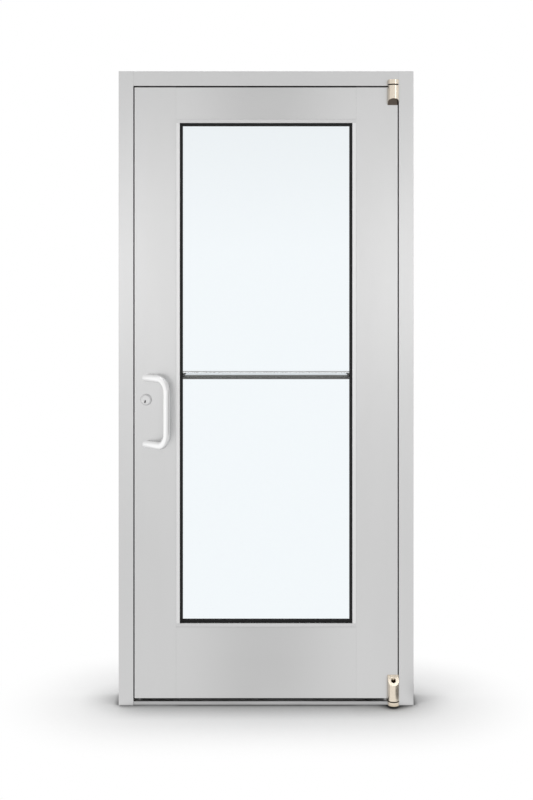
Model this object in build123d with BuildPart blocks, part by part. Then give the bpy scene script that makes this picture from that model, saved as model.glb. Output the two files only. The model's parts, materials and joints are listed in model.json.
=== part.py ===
from build123d import *
import math
import os

os.makedirs("parts", exist_ok=True)

# Glass entrance door: one framed glass leaf of satin aluminium, hung on offset pivots in its
# own aluminium frame. It swings outwards, and locks with a bolt that pivots out of its edge.
# Millimetres. +X is to the right seen from the pull side, +Y goes into the building, +Z is up.
# The origin is on the floor under the threshold, midway across the frame's width and depth.

# Doorway
opening_width = 914.4
opening_height = 2133.6

# Frame tubes, and the holes that anchor the jambs to a wall
frame_face = 50.8
frame_depth = 114.3
frame_wall = 3.2
tube_edge = 0.6
anchor_radius = 5.0
anchor_depth_spacing = 80.0
anchor_bottom = 260.0
anchor_top_gap = 273.6

# Threshold
threshold_height = 12.7
threshold_depth = 101.6
threshold_nose = 11.2
threshold_bevel = 3.0
threshold_wall = 4.0
threshold_foot = 20.0
threshold_rim = 8.0
rib_pitch = 5.0
rib_groove = 2.0
rib_depth = 0.7
threshold_hole_radius = 2.75
threshold_hole_sink = 5.4
threshold_hole_pitch = 600.0
threshold_hole_rows = 60.0

# Snap-on door stops and their weather pile
doorstop_projection = 16.0
doorstop_depth = 38.0
doorstop_wall = 1.6
doorstop_gap = 4.7
pile_width = 4.6
pile_base_width = 7.2
pile_base_thickness = 1.2
pile_play = 0.1
pile_clearance = 0.4
pile_heel_clearance = 0.4

# Leaf
side_gap = 4.0
top_gap = 5.4
bottom_gap = 11.9
leaf_depth = 44.45
leaf_wall = 3.2
leaf_edge = 0.4
stile_width = 143.0
top_rail_height = 109.5
bottom_rail_height = 244.7

# Glazing
glass_thickness = 6.35
glass_edge_gap = 3.2
bead_height = 12.7
bead_step = 0.8
bead_wall = 1.3
gasket_thickness = 3.2
gasket_lip = 9.6
gasket_lip_thickness = 1.9
gasket_hold = 8.0
setting_block_length = 100.0

# Tie rods that pull the stiles onto the rails
tie_rod_radius = 4.75
tie_rod_tail = 16.0
tie_nut_radius = 9.2
tie_nut_thickness = 8.0
tie_washer_radius = 12.0
tie_washer_thickness = 1.6
tie_rod_inset = 50.0

# Offset pivots
pivot_inset = 16.3
pivot_offset = 19.05
knuckle_radius = 18.7
pin_radius = 6.35
pin_chamfer = 1.0
bushing_wall = 3.15
bushing_flange = 13.0
running_clearance = 0.05
flange_thickness = 4.0
flange_clearance = 0.2
arm_half_width = 12.8
arm_thickness = 9.5
arm_clearance = 0.3
frame_arm_reach = 20.0
leaf_arm_margin = 4.0
top_knuckle_height = 15.4
leaf_knuckle_drop = 1.2
leaf_knuckle_short = 44.9
leaf_knuckle_long = 65.0
base_knuckle_drop = 4.5
base_plate_margin = 1.0
foot_knuckle_short = 52.7
foot_knuckle_long = 80.9
pin_engagement = 31.0
bushing_floor = 4.0
socket_radius = 8.5
adjuster_length = 13.0
adjuster_gap = 0.2
knuckle_edge = 0.9
pivot_block_length = 60.0
pivot_block_height = 25.0

# Screws
screw_radius = 3.0
screw_head_radius = 5.8
screw_clearance = 0.2
thread_clearance = 0.05
pan_head_height = 3.2
screw_side_spacing = 14.0
screw_depth_spacing = 16.0
arm_screw_side_spacing = 12.0

# Header clips
clip_thickness = 3.0
clip_leg = 30.0
clip_width = 60.0
clip_screw_spacing = 36.0

# Pull handle
pull_middle = 1013.8
pull_spacing = 228.6
pull_radius = 12.7
pull_inset = 45.0
pull_reach = 72.2
pull_bend = 45.0
handle_stud_radius = 4.0
handle_stud_bite = 9.5

# Push bar
push_bar_radius = 14.3
push_bar_wall = 2.4
push_bar_standoff = 53.7
push_bar_bend = 34.0
push_bar_plug = 16.0
bolt_head_radius = 9.0
bolt_head_height = 4.0

# Lock case and faceplate
cylinder_rise = 39.0
cylinder_backset = 40.0
lock_drop = 52.8
faceplate_height = 174.8
faceplate_width = 25.0
faceplate_clearance = 0.2
faceplate_screw_spacing = 160.0
case_height = 150.0
case_length = 56.8
case_thickness = 22.4
case_wall = 2.0
case_ear = 12.0
case_ear_thickness = 3.0

# Pivoted bolt
bolt_drop = 57.8
bolt_backset = 22.2
bolt_reach = 50.8
bolt_width = 30.0
bolt_thickness = 15.9
bolt_tail = 32.0
bolt_tail_width = 12.0
bolt_pin_radius = 4.0
bolt_slot_clearance = 1.5
bolt_side_clearance = 0.6
bolt_lamination = 3.2
bolt_groove = 0.5

# Key cylinder outside, turn cylinder inside
cylinder_radius = 14.6
cylinder_clearance = 0.3
cylinder_head_radius = 15.5
cylinder_head_height = 3.0
cylinder_inner_gap = 10.0
collar_radius = 20.2
collar_front_radius = 15.9
collar_height = 7.8
inner_collar_height = 5.0
plug_radius = 6.35
plug_offset = 6.4
cylinder_turn = 25.0
key_slot_width = 2.4
key_slot_height = 9.6
key_slot_depth = 4.0
cam_thickness = 2.4
cam_reach = 13.5
cam_hub_radius = 7.5
turn_rose_radius = 9.0
turn_rose_height = 3.0
turn_length = 30.0
turn_width = 8.0
turn_depth = 15.0

# Strike plate in the lock jamb
strike_height = 136.0
strike_width = 32.0
strike_thickness = 1.6
strike_screw_spacing = 116.0
strike_screw_radius = 2.0
strike_screw_head = 3.4
strike_side_clearance = 2.0

# Bottom sweep on the inside of the bottom rail
sweep_blade_thickness = 1.6
sweep_floor_clearance = 0.5
sweep_blade_top = 45.0
sweep_carrier_bottom = 27.0
sweep_carrier_top = 52.0
sweep_carrier_depth = 3.7
sweep_pivot_inset = 44.0
sweep_lock_inset = 16.0

# Places worked out from the sizes above
half_opening = opening_width / 2
jamb_outer = half_opening + frame_face
frame_front = -frame_depth / 2
frame_top = opening_height + frame_face
anchor_top = opening_height - anchor_top_gap

leaf_half = half_opening - side_gap
leaf_front = frame_front
leaf_back = leaf_front + leaf_depth
leaf_mid = leaf_front + leaf_depth / 2
leaf_bottom = threshold_height + bottom_gap
leaf_top = opening_height - top_gap
leaf_height = leaf_top - leaf_bottom

rail_half = leaf_half - stile_width
rail_length = 2 * rail_half
top_rail_bottom = leaf_top - top_rail_height
bottom_rail_top = leaf_bottom + bottom_rail_height
daylight_half = rail_half - bead_height
daylight_bottom = bottom_rail_top + bead_height
daylight_top = top_rail_bottom - bead_height
daylight_height = daylight_top - daylight_bottom
daylight_middle = (daylight_top + daylight_bottom) / 2

glass_front = leaf_mid - glass_thickness / 2
glass_back = leaf_mid + glass_thickness / 2
glass_bite = bead_height - glass_edge_gap
bead_depth = leaf_depth / 2 - bead_step - glass_thickness / 2 - gasket_thickness

doorstop_front = leaf_back + doorstop_gap
doorstop_top = opening_height - doorstop_projection

pivot_x = leaf_half - pivot_inset
pivot_y = leaf_front - pivot_offset
knuckle_nose = pivot_y - knuckle_radius
leaf_knuckle_top = opening_height - leaf_knuckle_drop
header_floor = opening_height + frame_wall
top_knuckle_top = header_floor + top_knuckle_height
base_plate_top = leaf_bottom - flange_thickness - flange_clearance
base_knuckle_bottom = threshold_height - base_knuckle_drop
bushing_radius = pin_radius + bushing_wall
bushing_bore = pin_radius + running_clearance
foot_pin_top = leaf_bottom + pin_engagement
foot_bushing_top = foot_pin_top + adjuster_gap
top_pin_bottom = leaf_knuckle_top - pin_engagement
top_bushing_bottom = top_pin_bottom - bushing_floor

tie_rod_heights = (
    leaf_bottom + tie_rod_inset,
    bottom_rail_top - tie_rod_inset,
    (leaf_top + top_rail_bottom) / 2,
)

pull_x = -leaf_half + pull_inset
pull_top = pull_middle + pull_spacing / 2
pull_bottom = pull_middle - pull_spacing / 2
push_bar_y = leaf_back + push_bar_standoff
stud_hole_radius = handle_stud_radius + screw_clearance

cylinder_x = -leaf_half + cylinder_backset
cylinder_height = pull_middle + cylinder_rise
lock_middle = cylinder_height - lock_drop
bolt_x = -leaf_half + bolt_backset
bolt_z = cylinder_height - bolt_drop
case_left = -leaf_half + leaf_wall
case_front = leaf_mid - case_thickness / 2
cylinder_front_end = leaf_mid - cylinder_inner_gap / 2
cylinder_back_end = leaf_mid + cylinder_inner_gap / 2
collar_face = leaf_front - collar_height
head_face = collar_face - cylinder_head_height
inner_collar_face = leaf_back + inner_collar_height
inner_head_face = inner_collar_face + cylinder_head_height
key_x = cylinder_x - plug_offset * math.sin(math.radians(cylinder_turn))
key_z = cylinder_height - plug_offset * math.cos(math.radians(cylinder_turn))
frame_screw_y = (frame_front + frame_wall + doorstop_front) / 2
base_plate_back = leaf_back - base_plate_margin
base_screw_y = (threshold_bevel - threshold_depth / 2 + base_plate_back) / 2
leaf_screw_y = leaf_mid
turn_x = cylinder_x
turn_z = cylinder_height - plug_offset


def upright(left, front, bottom):
    """The plane across a vertical member, with its corner at the left, front and bottom."""
    return Plane(origin=(left, front, bottom), x_dir=(1, 0, 0), z_dir=(0, 0, 1))


def crosswise(left, front, bottom):
    """The plane across a member that runs to the right, with its corner at the left end."""
    return Plane(origin=(left, front, bottom), x_dir=(0, 1, 0), z_dir=(1, 0, 0))


def pull_side(depth):
    """An upright plane at a depth, seen from the pull side: X to the right and Z up."""
    return Plane.XZ.offset(-depth)


def side_on(across):
    """An upright plane across the door at an X position: Y to the right and Z up."""
    return Plane.YZ.offset(across)


def box_section(seat, width, depth, wall, length, edge):
    """Extrude a box-section tube from a plane that holds its lower left corner."""
    with BuildSketch(seat) as section:
        Rectangle(width, depth, align=(Align.MIN, Align.MIN))
        fillet(section.vertices(), edge)
        with Locations((wall, wall)):
            Rectangle(
                width - 2 * wall,
                depth - 2 * wall,
                align=(Align.MIN, Align.MIN),
                mode=Mode.SUBTRACT,
            )
    extrude(section.sketch, amount=length)


def door_stop(seat, length):
    """Extrude a hollow door stop. Local X leaves the frame, and the pile slot opens at local Y 0."""
    slot_depth = pile_base_thickness + pile_play
    channel_width = pile_base_width + pile_play + 2 * doorstop_wall
    channel_depth = doorstop_wall + slot_depth + doorstop_wall
    slot_x = doorstop_projection / 2
    with BuildSketch(seat) as section:
        Rectangle(doorstop_projection, doorstop_depth, align=(Align.MIN, Align.MIN))
        with Locations((doorstop_wall, doorstop_wall)):
            Rectangle(
                doorstop_projection - 2 * doorstop_wall,
                doorstop_depth - 2 * doorstop_wall,
                align=(Align.MIN, Align.MIN),
                mode=Mode.SUBTRACT,
            )
        with Locations((slot_x, 0)):
            Rectangle(channel_width, channel_depth, align=(Align.CENTER, Align.MIN))
            Rectangle(
                pile_width + pile_play,
                doorstop_wall,
                align=(Align.CENTER, Align.MIN),
                mode=Mode.SUBTRACT,
            )
        with Locations((slot_x, doorstop_wall)):
            Rectangle(
                pile_base_width + pile_play,
                slot_depth,
                align=(Align.CENTER, Align.MIN),
                mode=Mode.SUBTRACT,
            )
    extrude(section.sketch, amount=length)


def weather_pile(seat, length, reach):
    """Extrude the pile strip that slides into a door stop's slot and stands out of it."""
    base_y = doorstop_wall + pile_play / 2
    slot_x = doorstop_projection / 2
    with BuildSketch(seat) as section:
        with Locations((slot_x, base_y)):
            Rectangle(pile_base_width, pile_base_thickness, align=(Align.CENTER, Align.MIN))
            Rectangle(pile_width, base_y + reach, align=(Align.CENTER, Align.MAX))
    extrude(section.sketch, amount=length)


def countersunk_screw(radius, head_radius, length):
    """A screw along -Z with its flat head's face at the origin and a hexagon socket."""
    with BuildPart() as screw:
        with BuildSketch(Plane.XZ):
            with BuildLine():
                Polyline(
                    (0, 0),
                    (head_radius, 0),
                    (radius, radius - head_radius),
                    (radius, -length),
                    (0, -length),
                    close=True,
                )
            make_face()
        revolve(axis=Axis.Z)
        with BuildSketch():
            RegularPolygon(radius * 0.7, 6)
        extrude(amount=-(head_radius - radius) / 2, mode=Mode.SUBTRACT)
    return screw.part


def pan_screw(radius, head_radius, head_height, length):
    """A screw along -Z whose rounded head stands above the origin."""
    with BuildPart() as screw:
        with BuildSketch(Plane.XZ):
            with BuildLine():
                Polyline((0, head_height), (0, -length), (radius, -length), (radius, 0), (head_radius, 0))
                Line((head_radius, 0), (head_radius, head_height / 3))
                RadiusArc((head_radius, head_height / 3), (0, head_height), -1.6 * head_radius)
            make_face()
        revolve(axis=Axis.Z)
        with BuildSketch(Plane.XY.offset(head_height)):
            RegularPolygon(radius * 0.7, 6)
        extrude(amount=-head_height / 2, mode=Mode.SUBTRACT)
    return screw.part


def knuckle_outline():
    """Draw a pivot knuckle in plan: a round nose about the pivot axis, square at the door face."""
    with Locations((pivot_x, pivot_y)):
        Circle(knuckle_radius)
        Rectangle(2 * knuckle_radius, pivot_offset, align=(Align.CENTER, Align.MIN))


def arm_outline(reach):
    """Draw the flat arm that runs from a knuckle into the member behind it."""
    with Locations((pivot_x, pivot_y)):
        Rectangle(2 * arm_half_width, pivot_offset + reach, align=(Align.CENTER, Align.MIN))


def bolt_sweep(distance):
    """How far above or below its pivot the bolt's tip passes, at a distance from the pivot."""
    return math.sqrt(bolt_reach**2 - distance**2)


def slot_span(distance):
    """The bottom and top of the slot that lets the bolt swing out at a distance from its pivot."""
    bottom = bolt_z - bolt_sweep(distance) - bolt_slot_clearance
    top = bolt_z + bolt_width / 2 + bolt_slot_clearance
    return bottom, top


# Lock jamb, with its anchor holes, strike pocket and bolt slot
with BuildPart() as lock_jamb:
    box_section(
        upright(-jamb_outer, frame_front, 0), frame_face, frame_depth, frame_wall, frame_top, tube_edge
    )
    with BuildSketch(side_on(-jamb_outer)):
        with Locations((0, (anchor_bottom + anchor_top) / 2)):
            with GridLocations(anchor_depth_spacing, anchor_top - anchor_bottom, 2, 2):
                Circle(anchor_radius)
    extrude(amount=frame_face, mode=Mode.SUBTRACT)
    with BuildSketch(side_on(-half_opening)):
        with Locations((leaf_mid, lock_middle)):
            Rectangle(strike_width + 2 * faceplate_clearance, strike_height + 2 * faceplate_clearance)
    extrude(amount=-strike_thickness, mode=Mode.SUBTRACT)
    strike_slot_bottom, strike_slot_top = slot_span(bolt_backset + side_gap)
    with BuildSketch(side_on(-half_opening)):
        with Locations((leaf_mid, (strike_slot_bottom + strike_slot_top) / 2)):
            Rectangle(
                bolt_thickness + 2 * strike_side_clearance, strike_slot_top - strike_slot_bottom
            )
        with Locations((leaf_mid, lock_middle)):
            with GridLocations(1, strike_screw_spacing, 1, 2):
                Circle(strike_screw_radius + thread_clearance)
    extrude(amount=-frame_wall, mode=Mode.SUBTRACT)
    with BuildSketch(side_on(-half_opening - frame_wall)):
        with Locations((0, frame_top - frame_wall - clip_leg / 2)):
            with GridLocations(clip_screw_spacing, 1, 2, 1):
                Circle(screw_radius + screw_clearance)
    extrude(amount=frame_wall, mode=Mode.SUBTRACT)
lock_jamb.part.label = "lock_jamb"
export_step(lock_jamb.part, "parts/lock_jamb.step")

# Pivot jamb
with BuildPart() as pivot_jamb:
    box_section(
        upright(half_opening, frame_front, 0), frame_face, frame_depth, frame_wall, frame_top, tube_edge
    )
    with BuildSketch(side_on(half_opening)):
        with Locations((0, (anchor_bottom + anchor_top) / 2)):
            with GridLocations(anchor_depth_spacing, anchor_top - anchor_bottom, 2, 2):
                Circle(anchor_radius)
    extrude(amount=frame_face, mode=Mode.SUBTRACT)
    with BuildSketch(side_on(half_opening)):
        with Locations((0, frame_top - frame_wall - clip_leg / 2)):
            with GridLocations(clip_screw_spacing, 1, 2, 1):
                Circle(screw_radius + screw_clearance)
    extrude(amount=frame_wall, mode=Mode.SUBTRACT)
pivot_jamb.part.label = "pivot_jamb"
export_step(pivot_jamb.part, "parts/pivot_jamb.step")

# Header between the jambs, slotted in front for the top pivot's arm
with BuildPart() as header:
    box_section(
        crosswise(-half_opening, frame_front, opening_height),
        frame_depth,
        frame_face,
        frame_wall,
        opening_width,
        tube_edge,
    )
    with BuildSketch(pull_side(frame_front)):
        with Locations((pivot_x, header_floor)):
            Rectangle(
                2 * (arm_half_width + arm_clearance),
                arm_thickness + arm_clearance,
                align=(Align.CENTER, Align.MIN),
            )
    extrude(amount=-frame_wall, mode=Mode.SUBTRACT)
    with Locations(Plane(origin=(pivot_x, frame_screw_y, opening_height), z_dir=(0, 0, -1))):
        with GridLocations(screw_side_spacing, screw_depth_spacing, 2, 2):
            CounterSinkHole(
                screw_radius + screw_clearance, screw_head_radius + screw_clearance, frame_wall * 2
            )
    for side in (-1, 1):
        with Locations((side * (half_opening - clip_leg / 2 - clip_thickness), 0, frame_top)):
            with GridLocations(1, clip_screw_spacing, 1, 2):
                CounterSinkHole(
                    screw_radius + screw_clearance, screw_head_radius + screw_clearance, frame_wall * 2
                )
header.part.label = "header"
export_step(header.part, "parts/header.step")

# Threshold: bevelled and ribbed above, hollow below beside a middle foot
with BuildPart() as threshold:
    with BuildSketch(side_on(-half_opening)):
        with BuildLine():
            Polyline(
                (-threshold_depth / 2, 0),
                (-threshold_depth / 2, threshold_nose),
                (threshold_bevel - threshold_depth / 2, threshold_height),
                (threshold_depth / 2 - threshold_bevel, threshold_height),
                (threshold_depth / 2, threshold_nose),
                (threshold_depth / 2, 0),
                close=True,
            )
        make_face()
        recess_width = (threshold_depth - threshold_foot) / 2 - threshold_rim
        with GridLocations(threshold_foot + recess_width, 1, 2, 1):
            Rectangle(
                recess_width,
                threshold_height - threshold_wall,
                align=(Align.CENTER, Align.MIN),
                mode=Mode.SUBTRACT,
            )
        groove_count = int((threshold_depth - 2 * threshold_bevel) / rib_pitch) - 1
        with Locations((0, threshold_height)):
            with GridLocations(rib_pitch, 1, groove_count, 1):
                Rectangle(
                    rib_groove, rib_depth, align=(Align.CENTER, Align.MAX), mode=Mode.SUBTRACT
                )
    extrude(amount=opening_width)
    with Locations((0, 0, threshold_height - rib_depth)):
        with GridLocations(threshold_hole_pitch, threshold_hole_rows, 2, 2):
            CounterSinkHole(threshold_hole_radius, threshold_hole_sink, threshold_height)
    with Locations((pivot_x, base_screw_y, threshold_height)):
        with GridLocations(screw_side_spacing, screw_depth_spacing, 2, 2):
            Hole(screw_radius + thread_clearance, threshold_height * 2)
threshold.part.label = "threshold"
export_step(threshold.part, "parts/threshold.step")

# Door stops: one up each jamb, and one across under the header
jamb_stop_length = doorstop_top - threshold_height
lock_stop_seat = upright(-half_opening, doorstop_front, threshold_height)
pivot_stop_seat = Plane(
    origin=(half_opening, doorstop_front, doorstop_top), x_dir=(-1, 0, 0), z_dir=(0, 0, -1)
)
header_stop_seat = Plane(
    origin=(-half_opening, doorstop_front, opening_height), x_dir=(0, 0, -1), z_dir=(1, 0, 0)
)
with BuildPart() as lock_jamb_stop:
    door_stop(lock_stop_seat, jamb_stop_length)
lock_jamb_stop.part.label = "lock_jamb_stop"
export_step(lock_jamb_stop.part, "parts/lock_jamb_stop.step")

with BuildPart() as pivot_jamb_stop:
    door_stop(pivot_stop_seat, jamb_stop_length)
pivot_jamb_stop.part.label = "pivot_jamb_stop"
export_step(pivot_jamb_stop.part, "parts/pivot_jamb_stop.step")

with BuildPart() as header_stop:
    door_stop(header_stop_seat, opening_width)
header_stop.part.label = "header_stop"
export_step(header_stop.part, "parts/header_stop.step")

# Weather pile in the stops. Beside the pivots the leaf's heel swings inwards as the door opens, so
# the pivot jamb's pile is shorter, and the header's pile ends where the heel's arc crosses its face.
pile_reach = doorstop_gap - pile_clearance
heel_radius = math.hypot(pivot_inset, pivot_offset + leaf_depth)
heel_pile_reach = doorstop_front - pivot_y - heel_radius - pile_heel_clearance
heel_half_chord = math.sqrt(heel_radius**2 - (doorstop_front - pile_reach - pivot_y) ** 2)
header_pile_length = half_opening + pivot_x - heel_half_chord - pile_heel_clearance
with BuildPart() as lock_weatherstrip:
    weather_pile(lock_stop_seat, jamb_stop_length, pile_reach)
lock_weatherstrip.part.label = "lock_weatherstrip"
export_step(lock_weatherstrip.part, "parts/lock_weatherstrip.step")

with BuildPart() as pivot_weatherstrip:
    weather_pile(pivot_stop_seat, jamb_stop_length, heel_pile_reach)
pivot_weatherstrip.part.label = "pivot_weatherstrip"
export_step(pivot_weatherstrip.part, "parts/pivot_weatherstrip.step")

with BuildPart() as header_weatherstrip:
    weather_pile(header_stop_seat, header_pile_length, pile_reach)
header_weatherstrip.part.label = "header_weatherstrip"
export_step(header_weatherstrip.part, "parts/header_weatherstrip.step")

# Angle clips that join the header to the jambs, with a hole for each screw
clip_top = frame_top - frame_wall
with BuildPart() as header_clips:
    for side in (-1, 1):
        with BuildSketch(Plane.XZ.offset(-clip_width / 2)):
            with Locations((side * half_opening, clip_top)):
                corner = (Align.MIN if side < 0 else Align.MAX, Align.MAX)
                Rectangle(clip_leg, clip_thickness, align=corner)
                Rectangle(clip_thickness, clip_leg, align=corner)
        extrude(amount=clip_width)
        with BuildSketch(side_on(side * half_opening)):
            with Locations((0, clip_top - clip_leg / 2)):
                with GridLocations(clip_screw_spacing, 1, 2, 1):
                    Circle(screw_radius + thread_clearance)
        extrude(amount=-side * clip_thickness, mode=Mode.SUBTRACT)
        with BuildSketch(Plane.XY.offset(clip_top)):
            with Locations((side * (half_opening - clip_leg / 2 - clip_thickness), 0)):
                with GridLocations(1, clip_screw_spacing, 1, 2):
                    Circle(screw_radius + thread_clearance)
        extrude(amount=-clip_thickness, mode=Mode.SUBTRACT)
header_clips.part.label = "header_clips"
export_step(header_clips.part, "parts/header_clips.step")

clip_side_screw = pan_screw(
    screw_radius, screw_head_radius, pan_head_height, frame_wall + clip_thickness + screw_radius
)
clip_top_screw = countersunk_screw(
    screw_radius, screw_head_radius, frame_wall + clip_thickness + screw_radius
)
with BuildPart() as header_clip_screws:
    for side in (-1, 1):
        jamb_face = side * (half_opening + frame_wall)
        with Locations(Plane(origin=(jamb_face, 0, clip_top - clip_leg / 2), z_dir=(side, 0, 0))):
            with Locations((0, clip_screw_spacing / 2), (0, -clip_screw_spacing / 2)):
                add(clip_side_screw)
        with Locations((side * (half_opening - clip_leg / 2 - clip_thickness), 0, frame_top)):
            with GridLocations(1, clip_screw_spacing, 1, 2):
                add(clip_top_screw)
header_clip_screws.part.label = "header_clip_screws"
export_step(header_clip_screws.part, "parts/header_clip_screws.step")

# Strike plate let into the lock jamb's face
with BuildPart() as strike_plate:
    with BuildSketch(side_on(-half_opening - strike_thickness)):
        with Locations((leaf_mid, lock_middle)):
            RectangleRounded(strike_width, strike_height, strike_screw_head)
        with Locations((leaf_mid, (strike_slot_bottom + strike_slot_top) / 2)):
            Rectangle(
                bolt_thickness + 2 * strike_side_clearance,
                strike_slot_top - strike_slot_bottom,
                mode=Mode.SUBTRACT,
            )
    extrude(amount=strike_thickness)
    with Locations(Plane(origin=(-half_opening, leaf_mid, lock_middle), x_dir=(0, 1, 0), z_dir=(1, 0, 0))):
        with GridLocations(1, strike_screw_spacing, 1, 2):
            CounterSinkHole(
                strike_screw_radius + thread_clearance,
                strike_screw_head + thread_clearance,
                strike_thickness * 2,
            )
strike_plate.part.label = "strike_plate"
export_step(strike_plate.part, "parts/strike_plate.step")

strike_screw = countersunk_screw(
    strike_screw_radius, strike_screw_head, frame_wall + 2 * strike_screw_radius
)
with BuildPart() as strike_screws:
    with Locations(Plane(origin=(-half_opening, leaf_mid, lock_middle), x_dir=(0, 1, 0), z_dir=(1, 0, 0))):
        with GridLocations(1, strike_screw_spacing, 1, 2):
            add(strike_screw)
strike_screws.part.label = "strike_screws"
export_step(strike_screws.part, "parts/strike_screws.step")

# Top pivot on the frame: a knuckle in front of the header with an arm inside it, and its pin
with BuildPart() as top_pivot_bracket:
    with BuildSketch(Plane.XY.offset(header_floor)):
        knuckle_outline()
    extrude(amount=top_knuckle_height)
    fillet(top_pivot_bracket.faces().sort_by(Axis.Z)[-1].edges(), knuckle_edge)
    with BuildSketch(Plane.XY.offset(header_floor)):
        arm_outline(frame_arm_reach - leaf_front)
    extrude(amount=arm_thickness)
    with Locations((pivot_x, pivot_y, top_knuckle_top)):
        Hole(pin_radius)
    with Locations((pivot_x, frame_screw_y, header_floor + arm_thickness)):
        with GridLocations(screw_side_spacing, screw_depth_spacing, 2, 2):
            Hole(screw_radius + thread_clearance, arm_thickness)
top_pivot_bracket.part.label = "top_pivot_bracket"
export_step(top_pivot_bracket.part, "parts/top_pivot_bracket.step")

with BuildPart() as top_pivot_pin:
    with BuildSketch(Plane.XY.offset(top_pin_bottom)):
        with Locations((pivot_x, pivot_y)):
            Circle(pin_radius)
    extrude(amount=top_knuckle_top - knuckle_edge - top_pin_bottom)
    chamfer(top_pivot_pin.edges().group_by(Axis.Z)[0], pin_chamfer)
top_pivot_pin.part.label = "top_pivot_pin"
export_step(top_pivot_pin.part, "parts/top_pivot_pin.step")

top_bracket_screw = countersunk_screw(screw_radius, screw_head_radius, frame_wall + arm_thickness)
with BuildPart() as top_pivot_screws:
    with Locations(Plane(origin=(pivot_x, frame_screw_y, opening_height), z_dir=(0, 0, -1))):
        with GridLocations(screw_side_spacing, screw_depth_spacing, 2, 2):
            add(top_bracket_screw)
top_pivot_screws.part.label = "top_pivot_screws"
export_step(top_pivot_screws.part, "parts/top_pivot_screws.step")

# Bottom pivot on the frame: a plate on the threshold whose knuckle drops in front of it
base_front = -threshold_depth / 2 - arm_clearance
with BuildPart() as bottom_pivot_base:
    with BuildSketch(Plane.XY.offset(base_knuckle_bottom)):
        knuckle_outline()
        with Locations((pivot_x, base_front)):
            Rectangle(
                2 * knuckle_radius + 1,
                frame_depth,
                align=(Align.CENTER, Align.MIN),
                mode=Mode.SUBTRACT,
            )
    extrude(amount=base_plate_top - base_knuckle_bottom)
    with BuildSketch(Plane.XY.offset(threshold_height)):
        knuckle_outline()
        with Locations((pivot_x, pivot_y)):
            Rectangle(
                2 * knuckle_radius,
                base_plate_back - pivot_y,
                align=(Align.CENTER, Align.MIN),
            )
    extrude(amount=base_plate_top - threshold_height)
    with Locations((pivot_x, pivot_y, base_plate_top)):
        Hole(pin_radius)
    with Locations((pivot_x, base_screw_y, base_plate_top)):
        with GridLocations(screw_side_spacing, screw_depth_spacing, 2, 2):
            CounterSinkHole(screw_radius + screw_clearance, screw_head_radius + screw_clearance)
bottom_pivot_base.part.label = "bottom_pivot_base"
export_step(bottom_pivot_base.part, "parts/bottom_pivot_base.step")

with BuildPart() as bottom_pivot_pin:
    with BuildSketch(Plane.XY.offset(base_knuckle_bottom)):
        with Locations((pivot_x, pivot_y)):
            Circle(pin_radius)
    extrude(amount=foot_pin_top - base_knuckle_bottom)
    chamfer(bottom_pivot_pin.edges().group_by(Axis.Z)[-1], pin_chamfer)
bottom_pivot_pin.part.label = "bottom_pivot_pin"
export_step(bottom_pivot_pin.part, "parts/bottom_pivot_pin.step")

base_screw = countersunk_screw(
    screw_radius, screw_head_radius, base_plate_top - threshold_height + threshold_wall
)
with BuildPart() as bottom_pivot_screws:
    with Locations((pivot_x, base_screw_y, base_plate_top)):
        with GridLocations(screw_side_spacing, screw_depth_spacing, 2, 2):
            add(base_screw)
bottom_pivot_screws.part.label = "bottom_pivot_screws"
export_step(bottom_pivot_screws.part, "parts/bottom_pivot_screws.step")

# Lock stile, with holes for the cylinders, the pull's studs and the tie rods, and the faceplate's cut-out
with BuildPart() as lock_stile:
    box_section(
        upright(-leaf_half, leaf_front, leaf_bottom),
        stile_width,
        leaf_depth,
        leaf_wall,
        leaf_height,
        leaf_edge,
    )
    with BuildSketch(pull_side(leaf_front)):
        with Locations((cylinder_x, cylinder_height)):
            Circle(cylinder_radius + cylinder_clearance)
        with Locations((pull_x, pull_top), (pull_x, pull_bottom)):
            Circle(stud_hole_radius)
    extrude(amount=-leaf_depth, mode=Mode.SUBTRACT)
    with BuildSketch(side_on(-leaf_half)):
        with Locations((leaf_mid, lock_middle)):
            Rectangle(
                faceplate_width + 2 * faceplate_clearance, faceplate_height + 2 * faceplate_clearance
            )
    extrude(amount=leaf_wall, mode=Mode.SUBTRACT)
    with BuildSketch(side_on(-rail_half)):
        with Locations(*[(leaf_mid, height) for height in tie_rod_heights]):
            Circle(tie_rod_radius + screw_clearance)
    extrude(amount=-leaf_wall, mode=Mode.SUBTRACT)
lock_stile.part.label = "lock_stile"
export_step(lock_stile.part, "parts/lock_stile.step")

# Pivot stile, notched in front at both ends for the pivot arms
notch_height = arm_thickness + arm_clearance
with BuildPart() as pivot_stile:
    box_section(
        upright(rail_half, leaf_front, leaf_bottom),
        stile_width,
        leaf_depth,
        leaf_wall,
        leaf_height,
        leaf_edge,
    )
    with BuildSketch(pull_side(leaf_front)):
        for notch_middle in (leaf_bottom + notch_height / 2, leaf_top - notch_height / 2):
            with Locations((pivot_x, notch_middle)):
                Rectangle(2 * (arm_half_width + arm_clearance), notch_height)
    extrude(amount=-leaf_wall, mode=Mode.SUBTRACT)
    with BuildSketch(pull_side(leaf_back)):
        with Locations((-pull_x, pull_top)):
            Circle(stud_hole_radius)
    extrude(amount=leaf_wall, mode=Mode.SUBTRACT)
    with BuildSketch(side_on(rail_half)):
        with Locations(*[(leaf_mid, height) for height in tie_rod_heights]):
            Circle(tie_rod_radius + screw_clearance)
    extrude(amount=leaf_wall, mode=Mode.SUBTRACT)
pivot_stile.part.label = "pivot_stile"
export_step(pivot_stile.part, "parts/pivot_stile.step")

# Rails between the stiles
with BuildPart() as top_rail:
    box_section(
        crosswise(-rail_half, leaf_front, top_rail_bottom),
        leaf_depth,
        top_rail_height,
        leaf_wall,
        rail_length,
        leaf_edge,
    )
top_rail.part.label = "top_rail"
export_step(top_rail.part, "parts/top_rail.step")

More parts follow.
